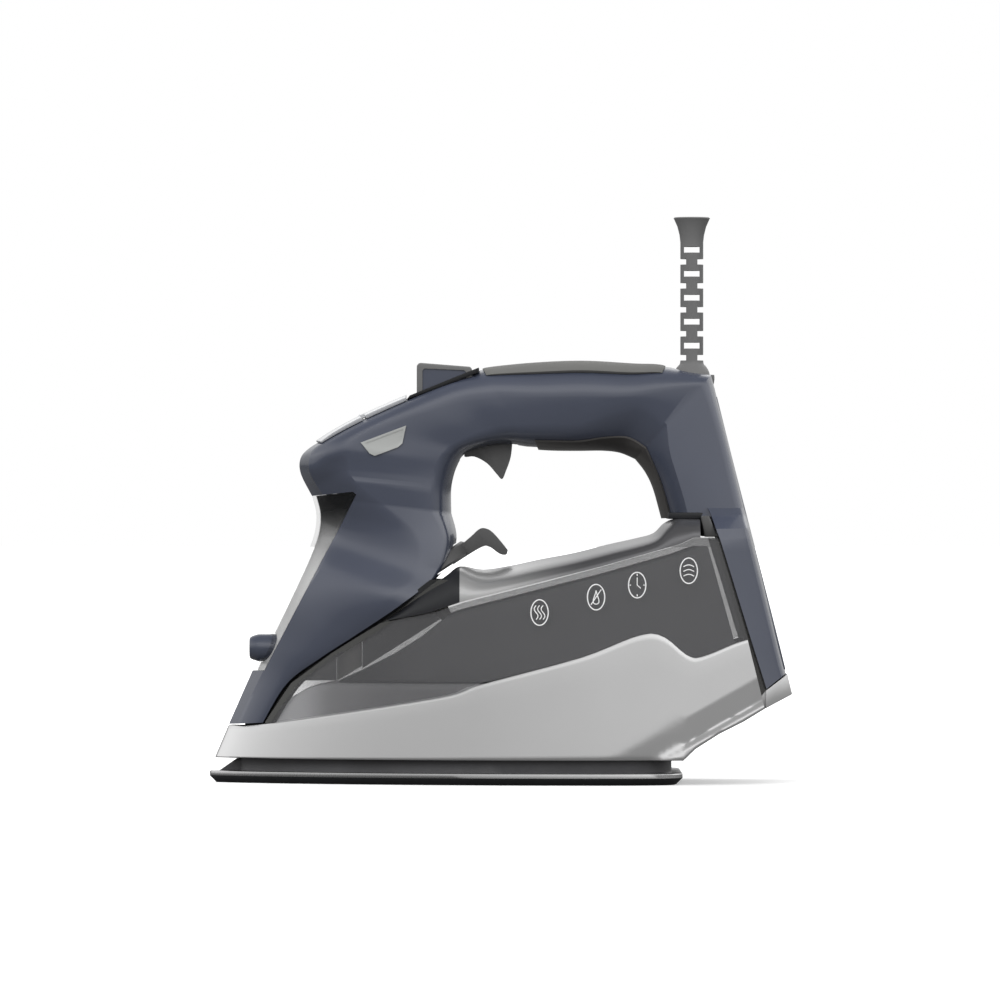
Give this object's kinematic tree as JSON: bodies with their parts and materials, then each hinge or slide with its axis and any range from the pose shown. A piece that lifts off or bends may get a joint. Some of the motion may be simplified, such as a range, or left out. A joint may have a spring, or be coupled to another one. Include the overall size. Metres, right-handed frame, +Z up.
{
  "type": "steam iron",
  "caption": "Mains steam iron with steam soleplate, see-through water tank, closed-loop handle, buttons, steam trigger, temperature dial, filler lid and swivelling cord guard.",
  "frame": {"origin": "centre of the overall box, on the underside of the soleplate", "axes": "+X towards the heel, -X towards the tip of the soleplate, +Y to the right-hand side seen from the heel looking to the tip, +Z up from the soleplate"},
  "size_m": [0.278, 0.112, 0.271],
  "materials": {
    "soleplate": "brushed, bright rim",
    "casting": "as cast",
    "chamber_cover": "plain sheet",
    "gasket": "matt",
    "element": "heat darkened",
    "heat_shield": "matt",
    "screws": "zinc plated",
    "ceramic": "glazed ceramic",
    "fuse": "ceramic sleeve",
    "skirt": "satin silver",
    "heel_base": "satin silver",
    "liner": "satin silver",
    "tank": "smoky, clear",
    "tank_window": "smoky, clear, gloss",
    "tank_cover": "metallic grey",
    "latch": "satin",
    "valve": "silicone",
    "shell": "satin navy",
    "rear_cover": "satin navy",
    "front_window": "clear, gloss",
    "front_backing": "gloss",
    "deck": "gloss",
    "lid": "gloss",
    "neck": "smoky, clear",
    "nozzle": "satin navy",
    "bezel": "satin",
    "button": "satin grey",
    "plunger": "acetal",
    "pump": "acetal",
    "spring": "drawn wire",
    "hose": "silicone",
    "leads": "silicone sleeve",
    "trigger": "satin grey",
    "grip": "soft touch",
    "trim": "satin chrome",
    "inlay": "satin",
    "dial": "satin grey",
    "dial_shaft": "plain",
    "board": "solder mask",
    "block": "plain",
    "clamp": "plain",
    "yoke": "satin",
    "guard": "matt"
  },
  "bodies": {
    "housing": {"soleplate": "soleplate", "steam_casting": "casting", "chamber_cover": "chamber_cover", "chamber_gasket": "gasket", "heating_element": "element", "heat_shield": "heat_shield", "casting_screws": "screws", "thermostat": "ceramic", "thermal_fuse": "fuse", "lower_skirt": "skirt", "heel_base": "heel_base", "skirt_liner": "liner", "water_tank": "tank", "tank_window": "tank_window", "tank_top_cover": "tank_cover", "tank_latch": "latch", "drip_valve": "valve", "main_shell_left": "shell", "main_shell_right": "shell", "rear_cover": "rear_cover", "rear_cover_screws": "screws", "front_window": "front_window", "front_backing": "front_backing", "top_deck": "deck", "lid_pin": "screws", "filler_neck": "neck", "spray_nozzle": "nozzle", "button_bezel": "bezel", "spray_pump": "pump", "steam_pump": "pump", "spray_spring": "spring", "steam_spring": "spring", "spray_hose": "hose", "steam_hose": "hose", "power_leads": "leads", "trigger_pin": "screws", "trigger_spring": "spring", "handle_grip": "grip", "handle_trim": "trim", "side_inlays": "inlay", "control_board": "board", "terminal_block": "block", "cord_clamp": "clamp", "clamp_screws": "screws"},
    "spray_button": {"spray_button": "button", "spray_plunger": "plunger"},
    "steam_button": {"steam_button": "button", "steam_plunger": "plunger"},
    "trigger": {"steam_trigger": "trigger"},
    "dial": {"temperature_dial": "dial", "dial_shaft": "dial_shaft"},
    "lid": {"filler_lid": "lid"},
    "swivel": {"swivel_yoke": "yoke"},
    "guard": {"cord_guard": "guard"}
  },
  "joints": [
    {"name": "spray_button_press", "type": "slide", "parent": "housing", "child": "spray_button", "axis": [0, 0, -1], "range_m": [0, 0.004], "stiffness_N_per_m": 350, "springref_m": -0.003, "deforming": ["spray_spring"]},
    {"name": "steam_button_press", "type": "slide", "parent": "housing", "child": "steam_button", "axis": [0, 0, -1], "range_m": [0, 0.004], "stiffness_N_per_m": 350, "springref_m": -0.003, "deforming": ["steam_spring"]},
    {"name": "trigger_pull", "type": "hinge", "parent": "housing", "child": "trigger", "pos_m": [-0.011, 0, 0.166], "axis": [0, -1, 0], "range_deg": [0, 8], "stiffness_Nm_per_rad": 0.1, "springref_deg": -11.46, "deforming": ["trigger_spring"]},
    {"name": "dial_turn", "type": "hinge", "parent": "housing", "child": "dial", "pos_m": [-0.038, 0, 0.0988], "axis": [-0.5446, 0, 0.8387], "range_deg": [-36, 36]},
    {"name": "filler_lid_open", "type": "hinge", "parent": "housing", "child": "lid", "pos_m": [-0.06663, 0, 0.17511], "axis": [0, 1, 0], "range_deg": [0, 95]},
    {"name": "cord_swing_fore_aft", "type": "hinge", "parent": "housing", "child": "swivel", "pos_m": [0.0923, 0, 0.1939], "axis": [0, 1, 0], "range_deg": [-24, 24]},
    {"name": "cord_swing_side", "type": "hinge", "parent": "swivel", "child": "guard", "pos_m": [0.0923, 0, 0.1939], "axis": [1, 0, 0], "range_deg": [-28, 28]}
  ]
}
